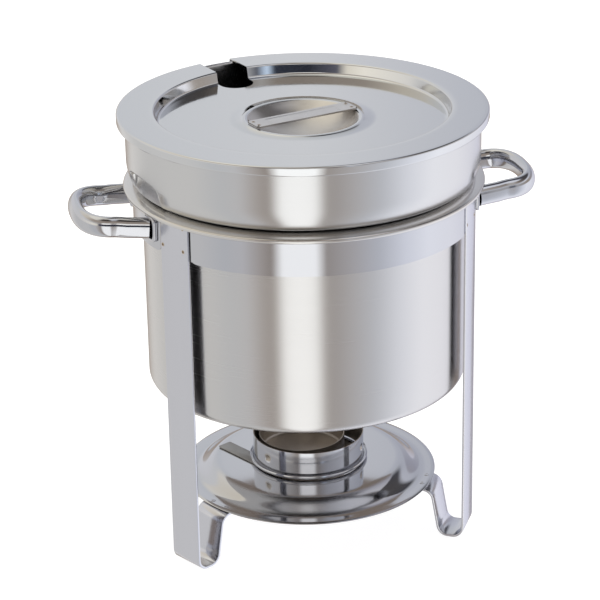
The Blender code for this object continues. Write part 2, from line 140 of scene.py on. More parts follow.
def arc(radius, height, bend, start, end, steps):
    """Path points round a bend, as (radius, height); angles in degrees from outwards."""
    turn = [math.radians(start + (end - start) * step / steps) for step in range(steps + 1)]
    return [(radius + bend * math.cos(a), height + bend * math.sin(a)) for a in turn]


def draw_up(path, thickness, around=192, press=None):
    """A round sheet drawn from its middle outwards: a circle's edge is extruded along the path of
    (radius, height) points, the middle is closed, press shapes the bare sheet, and the thickness is
    put behind the path."""
    bpy.ops.object.select_all(action="DESELECT")
    first = next(i for i, point in enumerate(path) if point[0] > 0)
    radius, height = path[first]
    bpy.ops.mesh.primitive_circle_add(vertices=around, radius=radius, location=(0, 0, height))
    piece = bpy.context.object
    bpy.ops.object.transform_apply(location=True)
    bpy.ops.object.mode_set(mode="EDIT")
    bpy.ops.mesh.select_all(action="SELECT")
    if first:
        bpy.ops.mesh.extrude_region_move(TRANSFORM_OT_translate={"value": (0, 0, path[0][1] - height)})
        bpy.ops.mesh.merge(type="CENTER")
        select(piece, lambda place: place.xy.length > radius / 2)
    for out, up in path[first + 1:]:
        bpy.ops.mesh.extrude_region_move(TRANSFORM_OT_translate={"value": (0, 0, up - height)})
        bpy.ops.transform.resize(value=(out / radius, out / radius, 1), center_override=(0, 0, 0))
        radius, height = out, up
    bpy.ops.mesh.select_all(action="SELECT")
    bpy.ops.mesh.normals_make_consistent(inside=False)
    bpy.ops.object.mode_set(mode="OBJECT")
    if press:
        press(piece)
    apply_modifier(piece, "SOLIDIFY", thickness=thickness, offset=-1.0, use_even_offset=True)
    return piece


def refinish(piece, material, chosen):
    """Give the faces whose middle passes the test another finish."""
    piece.data.materials.append(material)
    for face in piece.data.polygons:
        if chosen(face.center):
            face.material_index = len(piece.data.materials) - 1


# brushed 18/10 stainless: fine level lines round the pot, real ones about 0.2 mm apart and drawn
# 0.5 mm apart so that they show; highlights stretch up and down the wall
brushed_steel = stainless("brushed_stainless_steel", "#D3D2D1", 0.26, 0.022, (5, 5, 2000),
                          0.0000012, 0.75, 0.0)
# the flange is polished after it is rolled: nearly a mirror, with shallow ripples from the rolling
polished_flange = stainless("polished_stainless_flange", "#D6D4D1", 0.20, 0.03, (9, 9, 300),
                            0.000004, 0.0, 0.00003)
pan_low, pan_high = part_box("water_pan")
pan_sheet, pan_wall, pan_corner, pan_roll = 1.0 * MM, 131.0 * MM, 7.0 * MM, 2.0 * MM
pan_seat, pan_crest = 138.2 * MM, pan_low.z + 174 * MM
pan_flare = pan_seat - pan_wall
pan_path = [(0, pan_low.z + pan_sheet), (60 * MM, pan_low.z + pan_sheet)]
pan_path += arc(pan_wall - pan_corner, pan_low.z + pan_sheet + pan_corner, pan_corner, -90, 0, 10)
pan_path += [(pan_wall, pan_low.z + height * MM) for height in range(30, 160, 20)]
pan_path += arc(pan_seat, pan_crest - pan_flare, pan_flare, 180, 100, 10)
pan_path += arc(pan_high.x - pan_roll, pan_crest - 2.8 * MM - pan_roll, pan_roll, 75, -110, 14)
pan = finish_piece(draw_up(pan_path, pan_sheet), "water_pan_drawn", brushed_steel, "water_pan", "water_pan")
refinish(pan, polished_flange, lambda middle: middle.xy.length > pan_seat - 2 * MM)


# Food inset. The pot for the soup: a drawn stainless body that drops into the water pan and a wider drum
# that stands on the pan's flange by its coned shoulder. Two finger recesses are pressed into the drum's
# foot, and the top edge is rolled outwards.
# brushed like the pan, and a little finer
drum_steel = stainless("brushed_stainless_steel_drum", "#D2D2D2", 0.21, 0.03, (5, 5, 2000),
                       0.0000015, 0.7, 0.0)
inset_low, inset_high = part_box("food_inset")
seat = inset_low.z + 153 * MM
inset_sheet, body_wall, body_corner = 1.0 * MM, 126.5 * MM, 13.0 * MM
drum_wall, drum_roll, shoulder, drum_step = 142.5 * MM, 2.0 * MM, 17.5 * MM, 5.3 * MM
neck = drum_wall - drum_step
inset_path = [(0, inset_low.z + inset_sheet), (60 * MM, inset_low.z + inset_sheet)]
inset_path += arc(body_wall - body_corner, inset_low.z + inset_sheet + body_corner, body_corner, -90, 0, 10)
inset_path += [(body_wall, inset_low.z + height * MM) for height in range(30, 130, 20)]
inset_path += arc(neck, seat - (neck - body_wall) + inset_sheet, neck - body_wall, 180, 110, 8)
for share in range(1, 9):
    # the cone swells as it rises and turns upright at its top
    cone_turn = math.radians(90 * share / 8)
    inset_path.append((neck + drum_step * math.sin(cone_turn) ** 0.75,
                       seat + 0.5 * MM + shoulder * share / 8))
# rings lie closer together where the recesses are pressed in
inset_path += [(drum_wall, seat + height * MM)
               for height in (19, 20.5, 22, 23.5, 25, 26.5, 28, 30, 33, 40, 48)]
inset_path += arc(inset_high.x - drum_roll, inset_high.z - drum_roll, drum_roll, 180, -60, 16)
# recess_side and recess_top are the arch's heights above the seat at its ends and in its middle
recess_turns, recess_half, recess_depth = (-77.0, 103.0), 29.0 * MM, 4.5 * MM
recess_top, recess_side, recess_bend, recess_margin = 20.2 * MM, 12.0 * MM, 1.6 * MM, 8.0 * MM


def facing_at(turn):
    """The level direction outwards, so many degrees round from the front."""
    return Vector((math.sin(math.radians(turn)), -math.cos(math.radians(turn)), 0))


def press_recesses(piece):
    """Two hollows with an arched top edge, each pressed square into the foot of the drum."""
    middles = [facing_at(turn) for turn in recess_turns]

    def aside_and_up(place):
        middle = max(middles, key=place.dot)
        return middle.angle(Vector((place.x, place.y, 0))) * drum_wall, place.z - seat

    def nearby(place):
        if place.xy.length < neck - 0.1 * MM:
            return False
        aside, up = aside_and_up(place)
        return aside < recess_half + recess_margin and 0.4 * MM < up < recess_top + 3 * MM

    select(piece, nearby)
    bpy.ops.mesh.subdivide(number_cuts=5)
    bpy.ops.object.mode_set(mode="OBJECT")
    for corner in piece.data.vertices:
        if nearby(corner.co):
            aside, up = aside_and_up(corner.co)
            swell = math.sqrt(max(0.0, 1 - (aside / recess_half) ** 4))
            arch = recess_side + (recess_top - recess_side) * swell
            inside = min(arch - up, recess_half - aside) / recess_bend
            share = 0.5 - 0.5 * math.cos(math.pi * min(1.0, max(0.0, inside)))
            radius = corner.co.xy.length
            corner.co.xy *= 1 - share * max(0.0, radius - (drum_wall - recess_depth)) / radius


inset = draw_up(inset_path, inset_sheet, 288, press_recesses)
finish_piece(inset, "food_inset_drawn", drum_steel, "inset", "food_inset", crease=45)


# Lid. One pressed stainless disc: a flat rim with a short turned-down skirt, a sunk middle, a bowl for the
# fingers with a raised bead round it, and a slot cut through rim and wall for the ladle's handle.
# bright-annealed sheet: nearly a mirror, with a faint grey bloom and long shallow waves
bright_steel = stainless("bright_annealed_stainless_steel", "#D4D5D6", 0.085, 0.02, (260, 260, 260),
                         0.000002, 0.0, 0.00003)
# the bowl is drawn deeper, which leaves it satin, with soft reflections
satin_bowl = stainless("drawn_satin_stainless_steel", "#CFCBC6", 0.34, 0.05, (120, 120, 120),
                       0.000004, 0.0, 0.0)
lid_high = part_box("lid_cover")[1]
lid_top, lid_edge, lid_sheet = lid_high.z, lid_high.x, 1.0 * MM
lid_floor, lid_wall, skirt_bend = lid_top - 10 * MM, lid_edge - 30.5 * MM, 1.6 * MM
bowl_radius, bowl_depth, bead = 44.3 * MM, 16.0 * MM, 6.0 * MM
bowl_ball = (bowl_radius ** 2 + bowl_depth ** 2) / (2 * bowl_depth)
bowl_turn = math.degrees(math.asin(bowl_radius / bowl_ball))
lid_path = arc(0, lid_floor - bowl_depth + bowl_ball, bowl_ball, -90, bowl_turn - 93, 16)
lid_path[0] = (0, lid_floor - bowl_depth)
lid_path += [(bowl_radius + bead * step / 8,
              lid_floor + 1.0 * MM * math.sin(math.pi * step / 8) ** 0.8) for step in range(9)]
lid_path += [(radius * MM, lid_floor) for radius in (60, 75, 90, 105, 113)]
lid_path += arc(lid_wall - 4.2 * MM, lid_floor + 2.5 * MM, 2.5 * MM, -90, -12, 6)
lid_path += arc(lid_wall + 1.5 * MM, lid_top - 1.8 * MM, 1.8 * MM, 168, 90, 6)
lid_path += [(radius * MM, lid_top) for radius in (125, 130, 135, 140, 145)]
lid_path += arc(lid_edge - skirt_bend, lid_top - skirt_bend, skirt_bend, 90, 0, 8)
lid_path += arc(lid_edge - 1.5 * MM, lid_top - 6.3 * MM, 1.5 * MM, 0, -50, 5)
lid = draw_up(lid_path, lid_sheet, 256)
slot_turn, slot_width, slot_reach = math.radians(-163), 29.0 * MM, 53.0 * MM
bpy.ops.object.select_all(action="DESELECT")
# the slot's rounded end is slot_reach in from the lid's edge; the punch goes well past the sheet and the edge
slot_end, punch_height, punch_draw = lid_edge - slot_reach + slot_width / 2, 80 * MM, 60 * MM
bpy.ops.mesh.primitive_cylinder_add(vertices=64, radius=slot_width / 2, depth=punch_height,
                                    location=(0, -slot_end, lid_top))
punch = bpy.context.object
bpy.ops.object.transform_apply(location=True)
bpy.ops.object.mode_set(mode="EDIT")
select(punch, lambda place: place.y < -slot_end - 0.001 * MM)
bpy.ops.transform.translate(value=(0, -punch_draw, 0))
bpy.ops.object.mode_set(mode="OBJECT")
punch.data.transform(Matrix.Rotation(slot_turn, 4, "Z"))
punch.select_set(False)
lid.select_set(True)
bpy.context.view_layer.objects.active = lid
apply_modifier(lid, "BOOLEAN", operation="DIFFERENCE", solver="EXACT", object=punch)
bpy.data.objects.remove(punch)
finish_piece(lid, "lid_pressed", bright_steel, "lid", "lid_cover", crease=32)
refinish(lid, satin_bowl, lambda middle: middle.xy.length < bowl_radius + 1 * MM)


# Strap handle. A flat stainless strap laid across the lid's bowl, square to the ladle slot, with a pressed
# middle panel that stiffens it; its ends are spot-welded to the bead.
# satin strip: rolled along its length, with fine lines that way and soft reflections
strap_steel = stainless("satin_stainless_handle_strip", "#CDCBCA", 0.30, 0.05, (120, 120, 120),
                        0.000004, 0.0, 0.0)
strap_low, strap_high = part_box("lid_strap_handle")
strap_length, strap_width, strap_turn = 93.0 * MM, 18.0 * MM, slot_turn + math.pi / 2
strap_sheet = strap_high.z - strap_low.z
bpy.ops.object.select_all(action="DESELECT")
bpy.ops.mesh.primitive_plane_add(size=1, location=(0, 0, strap_high.z))
strap = bpy.context.object
strap.scale = (strap_width, strap_length, 1)
bpy.ops.object.transform_apply(location=True, scale=True)
bpy.ops.object.mode_set(mode="EDIT")
bpy.ops.mesh.select_all(action="SELECT")
# the panel in its middle: set in from the sides, shorter than the strap, and pressed 0.35 mm down
bpy.ops.mesh.inset(thickness=3.2 * MM)
bpy.ops.transform.resize(value=(1, 0.74, 1), center_override=(0, 0, 0))
bpy.ops.mesh.inset(thickness=0.7 * MM)
bpy.ops.transform.translate(value=(0, 0, -0.35 * MM))
bpy.ops.mesh.inset(thickness=0.6 * MM)
select(strap, lambda place: abs(place.x) > strap_width / 2 - 0.1 * MM)
bpy.ops.mesh.bevel(offset=2.0 * MM, segments=4, affect="VERTICES")
bpy.ops.object.mode_set(mode="OBJECT")
apply_modifier(strap, "SOLIDIFY", thickness=strap_sheet * 0.9, offset=-1.0)
apply_modifier(strap, "BEVEL", width=0.25 * MM, segments=2, limit_method="ANGLE",
               angle_limit=math.radians(50))
strap.data.transform(Matrix.Rotation(strap_turn, 4, "Z"))
finish_piece(strap, "lid_strap_pressed", strap_steel, "lid", "lid_strap_handle")


# Spot welds. Where two sheets are welded the electrode leaves a small round dimple, dark in the middle, with
# a straw-brown halo from the heat.
weld_steel = bpy.data.materials.new("heat_tinted_stainless_steel")
weld_steel.use_nodes = True
weld_tree = weld_steel.node_tree
weld_shader = weld_tree.nodes["Principled BSDF"]
weld_shader.inputs["Metallic"].default_value = 1.0
weld_shader.inputs["Roughness"].default_value = 0.30
weld_place = add_node(weld_tree, "ShaderNodeUVMap", {}, {})
weld_out = add_node(weld_tree, "ShaderNodeVectorMath", {"operation": "DISTANCE", 1: (0.5, 0.5, 0)},
                    {0: weld_place.outputs["UV"]})
weld_blot = add_node(weld_tree, "ShaderNodeTexNoise", {"Scale": 9.0, "Detail": 2.0},
                     {"Vector": weld_place.outputs["UV"]})
weld_uneven = add_node(weld_tree, "ShaderNodeMath", {"operation": "MULTIPLY_ADD", 1: 0.16},
                       {0: weld_blot.outputs["Fac"], 2: weld_out.outputs["Value"]})
weld_tint = add_node(weld_tree, "ShaderNodeValToRGB", {}, {"Fac": weld_uneven.outputs["Value"]})
weld_stops = weld_tint.color_ramp.elements
weld_stops[0].position, weld_stops[0].color = 0.10, linear("#4A4038")
weld_stops[1].position, weld_stops[1].color = 0.58, linear("#D0CECA")
for position, tint in ((0.26, "#6E5E50"), (0.36, "#B29A80"), (0.48, "#C6BAA8")):
    weld_stops.new(position).color = linear(tint)
weld_tree.links.new(weld_tint.outputs["Color"], weld_shader.inputs["Base Color"])


def spot_weld(name, place, facing, body, size, finish=weld_steel):
    """A shallow crater on a surface: a disc stepped inwards, turned to face a direction."""
    bpy.ops.object.select_all(action="DESELECT")
    bpy.ops.mesh.primitive_circle_add(vertices=24, radius=size, fill_type="NGON")
    weld = bpy.context.object
    bpy.ops.object.mode_set(mode="EDIT")
    bpy.ops.mesh.select_all(action="SELECT")
    for step, lift in ((0.18, 0.10), (0.14, 0.07), (0.16, -0.05), (0.14, -0.09)):
        bpy.ops.mesh.inset(thickness=size * step)
        bpy.ops.transform.translate(value=(0, 0, lift * MM))
    bpy.ops.object.mode_set(mode="OBJECT")
    turn = Vector(facing).to_track_quat("Z", "Y").to_matrix().to_4x4()
    weld.data.transform(Matrix.Translation(place + Vector(facing) * 0.03 * MM) @ turn)
    return finish_piece(weld, name, finish, body, None)


def across_at(turn):
    """The level direction along a surface that faces outwards at so many degrees from the front."""
    return Vector((math.cos(math.radians(turn)), math.sin(math.radians(turn)), 0))


strap_end, strap_side = facing_at(math.degrees(strap_turn)), across_at(math.degrees(strap_turn))
for end in (-1, 1):
    for side in (-1, 1):
        place = end * 43.0 * MM * strap_end + side * 4.6 * MM * strap_side + Vector((0, 0, strap_high.z))
        spot_weld("strap_weld_%s_%s" % ("near" if end > 0 else "far", "a" if side > 0 else "b"),
                  place, (0, 0, 1), "lid", 1.7 * MM)


# Legs. Three flat stainless straps, each bent into a narrow U for its foot and up again to a tab under the
# tray's flange. Their edges are deburred, and their tops stop under the pan's flange.
# satin strip: rolled along its length, so the fine lines run up the leg
strip_steel = stainless("satin_stainless_strip", "#D1D2D8", 0.18, 0.05, (700, 700, 14),
                        0.000008, 0.0, 0.00006)
leg_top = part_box("leg_back")[1].z
band_outside = 139.5 * MM
leg_width, leg_sheet, foot_depth, foot_flat = 32.0 * MM, 2.0 * MM, 23.5 * MM, 4.0 * MM
tray_low, tray_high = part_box("fuel_tray")
foot_bend = (foot_depth - foot_flat) / 2
tab_z = tray_low.z - 0.3 * MM - leg_sheet
foot_lean, tab_bend = 10.0, 8.0 * MM
leg_path = [(band_outside, leg_top), (band_outside, 200 * MM), (band_outside, 100 * MM)]
leg_path += arc(band_outside - foot_bend, foot_bend, foot_bend, 0, -90, 10)
leg_path += arc(band_outside - foot_depth + foot_bend, foot_bend, foot_bend, -90, foot_lean - 180, 10)
strap_end_z = tab_z - tab_bend * (1 - math.sin(math.radians(foot_lean)))
strap_end_out = leg_path[-1][0] - (strap_end_z - leg_path[-1][1]) * math.tan(math.radians(foot_lean))
leg_path += arc(strap_end_out - tab_bend * math.cos(math.radians(foot_lean)), tab_z - tab_bend, tab_bend,
                foot_lean, 90, 8)
leg_path.append((97 * MM, tab_z))
bpy.ops.object.select_all(action="DESELECT")
bpy.ops.mesh.primitive_plane_add(size=1)
leg = bpy.context.object
# of this sliver of a plane only the outer edge is kept, and drawn along the path
sliver = 1.0 * MM
leg.scale = (leg_width, sliver, 1)
leg.location = (0, sliver / 2 - leg_path[0][0], leg_path[0][1])
bpy.ops.object.transform_apply(location=True, scale=True)
bpy.ops.object.mode_set(mode="EDIT")
bpy.ops.mesh.select_all(action="SELECT")
select(leg, lambda place: place.y > sliver / 2 - leg_path[0][0])
bpy.ops.mesh.delete(type="VERT")
bpy.ops.mesh.select_all(action="SELECT")
for before, after in zip(leg_path, leg_path[1:]):
    step = (0, before[0] - after[0], after[1] - before[1])
    bpy.ops.mesh.extrude_region_move(TRANSFORM_OT_translate={"value": step})
bpy.ops.mesh.select_all(action="SELECT")
bpy.ops.mesh.normals_make_consistent(inside=False)
bpy.ops.object.mode_set(mode="OBJECT")
# the sheet's thickness goes inwards of the leg's outer face
outwards = sum((face.normal.y for face in leg.data.polygons if face.center.z > 120 * MM), 0.0) < 0
apply_modifier(leg, "SOLIDIFY", thickness=leg_sheet, offset=-1.0 if outwards else 1.0, use_even_offset=True)
apply_modifier(leg, "BEVEL", width=0.35 * MM, segments=2, limit_method="ANGLE", angle_limit=math.radians(60))
for name, turn in (("leg_front_left", -60), ("leg_front_right", 60), ("leg_back", 180)):
    bpy.ops.object.select_all(action="DESELECT")
    strap_leg = leg.copy()
    strap_leg.data = leg.data.copy()
    bpy.context.collection.objects.link(strap_leg)
    strap_leg.select_set(True)
    bpy.context.view_layer.objects.active = strap_leg
    strap_leg.data.transform(Matrix.Rotation(math.radians(turn), 4, "Z"))
    finish_piece(strap_leg, name + "_strap", strip_steel, "stand", name, crease=35)
    facing, across = facing_at(turn), across_at(turn)
    for row, drop in (("top", 6.0), ("bottom", 25.0)):
        for side, aside in (("left", -13.6), ("right", 10.6)):
            place = band_outside * facing + aside * MM * across + Vector((0, 0, leg_top - drop * MM))
            spot_weld("%s_weld_%s_%s" % (name, row, side), place, facing, "stand",
                      1.7 * MM)
bpy.data.objects.remove(leg)


# Band. A stainless hoop in three pieces that the pan hangs in; each piece runs from leg to leg, steps inwards
# beside a leg by a little more than the leg's thickness, and is spot-welded behind it.
# polished sheet: nearly a mirror, with long waves from the rolling
polished_steel = stainless("polished_stainless_steel", "#C8C9CD", 0.09, 0.025, (9, 9, 300),
                           0.000003, 0.0, 0.00008)
band_sheet, band_low, band_top = 1.5 * MM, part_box("band_front")[0].z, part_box("band_front")[1].z
# turns in degrees: half of the full-width part, and the lap behind the leg; joggle_turn is the step's length
leg_half, lap_turn = math.degrees(math.asin(18.5 * MM / band_outside)), math.degrees(13.5 * MM / band_outside)
half_turn, joggle, joggle_turn, corner_round = 60 - leg_half, 2.3 * MM, 0.9, 6.0 * MM
for name, middle in (("band_front", 0), ("band_right", 120), ("band_left", -120)):
    bpy.ops.object.select_all(action="DESELECT")
    bpy.ops.mesh.primitive_plane_add(size=1)
    band = bpy.context.object
    bpy.ops.object.mode_set(mode="EDIT")
    select(band, lambda place: place.x > 0)
    bpy.ops.mesh.delete(type="VERT")
    bpy.ops.mesh.select_all(action="SELECT")
    bpy.ops.mesh.subdivide(number_cuts=10)
    bpy.ops.object.mode_set(mode="OBJECT")
    for corner in band.data.vertices:
        corner.co = (0, -band_outside, band_low + (corner.co.y + 0.5) * (band_top - band_low))
    band.data.transform(Matrix.Rotation(math.radians(middle - half_turn - lap_turn), 4, "Z"))
    bpy.ops.object.mode_set(mode="EDIT")
    bpy.ops.mesh.select_all(action="SELECT")
    bpy.ops.mesh.spin(steps=192, angle=-math.radians(2 * (half_turn + lap_turn)), center=(0, 0, 0),
                      axis=(0, 0, 1))
    bpy.ops.mesh.select_all(action="SELECT")
    bpy.ops.mesh.remove_doubles(threshold=0.01 * MM)
    bpy.ops.mesh.normals_make_consistent(inside=False)
    bpy.ops.object.mode_set(mode="OBJECT")
    for corner in band.data.vertices:
        turn = math.degrees(math.atan2(corner.co.x, -corner.co.y)) - middle
        turn = (turn + 180) % 360 - 180
        beyond = abs(turn) - half_turn
        # a step inwards beside the leg
        inwards = joggle * min(1.0, max(0.0, beyond / joggle_turn))
        corner.co.xy *= 1 - inwards / band_outside
        # the lower corner of the full-width part is rounded off
        corner_out = math.radians(beyond) * band_outside + corner_round
        if 0 < corner_out < corner_round + 0.5 * MM:
            share = min(corner_out / corner_round, 1.0)
            lowest = band_low + corner_round / 2 * (1 - math.sqrt(1 - share ** 2))
            corner.co.z = max(corner.co.z, lowest)
    facet = band.data.polygons[0]
    if facet.normal.xy.dot(facet.center.xy) < 0:
        band.data.flip_normals()
    apply_modifier(band, "SOLIDIFY", thickness=band_sheet, offset=-1.0, use_even_offset=True)
    apply_modifier(band, "BEVEL", width=0.5 * MM, segments=3, limit_method="ANGLE",
                   angle_limit=math.radians(60))
    finish_piece(band, name + "_rolled", polished_steel, "stand", name, crease=35)


# Fuel tray. A spun stainless disc with a flat flange that lies on the legs' tabs and a raised flat middle for
# the fuel; two spot welds hold it at each tab.
tray_sheet, flange_inner, plateau, weld_circle = 1.2 * MM, 95.5 * MM, 78.0 * MM, 101.6 * MM
flange_z = tray_low.z + tray_sheet
rise = tray_high.z - flange_z
tray_path = [(0, tray_high.z)] + [(radius * MM, tray_high.z) for radius in (20, 40, 60, 73)]
for step in range(1, 15):
    # a convex shoulder that flattens out into the flange
    share = step / 14
    tray_path.append((plateau - 3 * MM + (flange_inner - plateau + 4 * MM) * share,
                      flange_z + rise * (1 + math.cos(math.pi * share ** 1.25)) / 2))
tray_path += [(100 * MM, flange_z), (104 * MM, flange_z), (tray_high.x - 0.4 * MM, flange_z),
              (tray_high.x, flange_z - 0.4 * MM)]
finish_piece(draw_up(tray_path, tray_sheet), "fuel_tray_spun", polished_steel, "stand", "fuel_tray",
             crease=50)
for name, turn in (("left", -60), ("right", 60), ("back", 180)):
    facing, across = facing_at(turn), across_at(turn)
    for side, aside in (("a", -8), ("b", 8)):
        spot_weld("tray_weld_%s_%s" % (name, side),
                  weld_circle * facing + aside * MM * across + Vector((0, 0, flange_z)), (0, 0, 1),
                  "stand", 2.2 * MM, polished_steel)


# Carry handles. Oval stainless tubes bowed outwards and polished; each end is let into a thick rounded pad
# that is welded to the band.
handle_z = (band_low + band_top) / 2
handle_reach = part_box("carry_handle_right")[1].x - 6 * MM
bow_depth, half_waist, half_spread, handle_rise = 25.0 * MM, 38.0 * MM, 42.0 * MM, 4.0 * MM
bow_start = handle_reach - bow_depth
tube_half_width, tube_half_height = 6.0 * MM, 8.5 * MM
pad_width, pad_height, pad_corner, pad_sheet = 17.0 * MM, 21.0 * MM, 5.0 * MM, 3.0 * MM
pad_turn = math.degrees(math.asin(half_spread / band_outside))
root = (band_outside + pad_sheet - 0.6 * MM) * math.cos(math.radians(pad_turn))
line = [(root, -half_spread), (root + 4 * MM, -half_spread + 0.6 * MM),
        (bow_start - 9 * MM, -half_waist - 2 * MM), (bow_start - 4 * MM, -half_waist - 0.6 * MM)]
for step in range(41):
    angle = math.radians(-90 + 180 * step / 40)
    line.append((bow_start + bow_depth * abs(math.cos(angle)) ** 0.8,
                 half_waist * math.copysign(abs(math.sin(angle)) ** 0.8, math.sin(angle))))
line += [(out, -across) for out, across in line[3::-1]]
for side, sign in (("left", -1), ("right", 1)):
    bpy.ops.object.select_all(action="DESELECT")
    bpy.ops.curve.primitive_bezier_circle_add(radius=1)
    section = bpy.context.object
    section.scale = (tube_half_width, tube_half_height, 1)
    bpy.ops.object.transform_apply(scale=True)
    bpy.ops.object.select_all(action="DESELECT")
    bent = bpy.data.curves.new("handle_line", "CURVE")
    bent.dimensions = "3D"
    bent.bevel_mode = "OBJECT"
    bent.bevel_object = section
    bent.use_fill_caps = True
    spline = bent.splines.new("POLY")
    spline.points.add(len(line) - 1)
    for point, (out, across) in zip(spline.points, line):
        point.co = (sign * out, across, handle_z + handle_rise * (out - root) / (handle_reach - root), 1)
    handle = bpy.data.objects.new("handle", bent)
    bpy.context.collection.objects.link(handle)
    handle.select_set(True)
    bpy.context.view_layer.objects.active = handle
    bpy.ops.object.convert(target="MESH")
    handle = bpy.context.object
    bpy.ops.object.mode_set(mode="EDIT")
    bpy.ops.mesh.select_all(action="SELECT")
    bpy.ops.mesh.remove_doubles(threshold=0.01 * MM)
    bpy.ops.mesh.normals_make_consistent(inside=False)
    bpy.ops.object.mode_set(mode="OBJECT")
    bpy.data.objects.remove(section)
    finish_piece(handle, "carry_handle_%s_tube" % side, polished_steel, "stand", "carry_handle_" + side,
                 crease=50)
    for end, turn in (("front", -1), ("back", 1)):
        bpy.ops.object.select_all(action="DESELECT")
        bpy.ops.mesh.primitive_plane_add(size=1)
        plate = bpy.context.object
        plate.scale = (pad_width, pad_height, 1)
        bpy.ops.object.transform_apply(scale=True)
        bpy.ops.object.mode_set(mode="EDIT")
        bpy.ops.mesh.select_all(action="SELECT")
        bpy.ops.mesh.bevel(offset=pad_corner, segments=8, affect="VERTICES")
        bpy.ops.mesh.extrude_region_move(TRANSFORM_OT_translate={"value": (0, 0, pad_sheet - 1.0 * MM)})
        # a rounded shoulder, then a groove where the tube is let in
        for inwards, up in ((0.3, 0.5), (0.5, 0.35), (0.8, 0.15), (1.0, 0.0), (0.3, -0.4), (0.8, -0.2)):
            bpy.ops.mesh.inset(thickness=inwards * MM)
            bpy.ops.transform.translate(value=(0, 0, up * MM))
        bpy.ops.mesh.select_all(action="SELECT")
        bpy.ops.mesh.normals_make_consistent(inside=False)
        bpy.ops.object.mode_set(mode="OBJECT")
        plate.data.transform(Matrix.Translation((0, -band_outside - 0.1 * MM, handle_z))
                             @ Matrix.Rotation(math.radians(90), 4, "X"))
        apply_modifier(plate, "BEVEL", width=0.12 * MM, segments=2, limit_method="ANGLE",
                       angle_limit=math.radians(35))
        plate_turn = sign * (90 + turn * pad_turn)
        plate.data.transform(Matrix.Rotation(math.radians(plate_turn), 4, "Z"))
        finish_piece(plate, "handle_plate_%s_%s_pad" % (side, end), polished_steel, "stand",
                     "handle_plate_%s_%s" % (side, end), crease=40)


# Fuel ring. A short stainless collar with a rolled foot and three dimples that steady the fuel can; it stands
# on the grip.
# painted shade: the ring's inside and the cup get a darker, browner and duller finish than the rest
shade_darkened_steel = stainless("stainless_with_painted_shade", "#BDB5AB", 0.42, 0.10, (90, 90, 90),
                         0.00003, 0.0, 0.0)
ring_low, ring_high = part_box("fuel_ring")
ring_wall, ring_roll, ring_sheet = 46.8 * MM, 1.2 * MM, 0.8 * MM
dimple_reach, dimple_depth, dimple_up = 3.6 * MM, 1.3 * MM, 11.5 * MM
ring_path = [(ring_wall, ring_high.z - height * 0.9 * MM) for height in range(23)]
ring_path += arc(ring_wall + ring_roll, ring_low.z + ring_roll, ring_roll, 180, 400, 12)
ring = draw_up(ring_path, ring_sheet, 256)
for corner in ring.data.vertices:
    for turn in (-60, 60, 180):
        middle = ring_wall * facing_at(turn) + Vector((0, 0, ring_low.z + dimple_up))
        near = (corner.co - middle).length / dimple_reach
        if near < 1:
            corner.co.xy *= 1 - dimple_depth * math.cos(near * math.pi / 2) / ring_wall
finish_piece(ring, "fuel_ring_collar", polished_steel, "fuel_holder", "fuel_ring")
# the inside faces get the darker, browner finish: painted shade
refinish(ring, shade_darkened_steel, lambda middle: middle.xy.length < ring_wall - 0.3 * MM)


# Grip. A flat stainless strip welded under the ring; its end is used to draw the fuel holder out.
# plain strip, painted a darker grey than the other sheets: painted shade under the pan
shade_grey_strip = stainless("stainless_strip_painted_shade", "#9C9B99", 0.42, 0.06, (200, 200, 200), 0.00001, 0.0, 0.0)
grip_low, grip_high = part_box("fuel_holder_grip")
grip_width, grip_length, grip_turn = 13.0 * MM, 65.0 * MM, -151
bpy.ops.object.select_all(action="DESELECT")
bpy.ops.mesh.primitive_plane_add(size=1, location=(0, 0, grip_high.z))
grip = bpy.context.object
grip.scale = (grip_width, grip_length, 1)
grip.location.y = -grip_length / 2
bpy.ops.object.transform_apply(location=True, scale=True)
bpy.ops.object.mode_set(mode="EDIT")
bpy.ops.mesh.select_all(action="SELECT")
bpy.ops.mesh.bevel(offset=1.2 * MM, segments=4, affect="VERTICES")
bpy.ops.object.mode_set(mode="OBJECT")
apply_modifier(grip, "SOLIDIFY", thickness=grip_high.z - grip_low.z, offset=-1.0)
apply_modifier(grip, "BEVEL", width=0.2 * MM, segments=2, limit_method="ANGLE")
grip.data.transform(Matrix.Rotation(math.radians(grip_turn), 4, "Z") @ Matrix.Translation((39 * MM, 0, 0)))
# the grip gets the darker grey: painted shade under the pan
finish_piece(grip, "fuel_grip_strip", shade_grey_strip, "fuel_holder", "fuel_holder_grip")


# Fuel cup. A small pressed cup that sits loose in the ring and holds the chafing fuel; it has the ring's
# darker, browner and duller finish, painted shade inside the ring.
cup_low, cup_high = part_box("fuel_cup")
cup_wall, cup_sheet, cup_corner = (cup_high.x - cup_low.x) / 2 - 0.8 * MM, 0.8 * MM, 3.2 * MM
cup_path = [(0, cup_low.z + cup_sheet), (15 * MM, cup_low.z + cup_sheet)]
cup_path += arc(cup_wall - cup_corner, cup_low.z + cup_sheet + cup_corner, cup_corner, -90, 0, 8)
cup_path += [(cup_wall, cup_high.z - height * MM) for height in (8, 4, 0.2)]
cup = draw_up(cup_path, cup_sheet, 128)
cup.data.transform(Matrix.Translation(((cup_low.x + cup_high.x) / 2, (cup_low.y + cup_high.y) / 2, 0)))
# the cup gets the darker, browner finish: painted shade
finish_piece(cup, "fuel_cup_pressed", shade_darkened_steel, "fuel_cup", "fuel_cup")


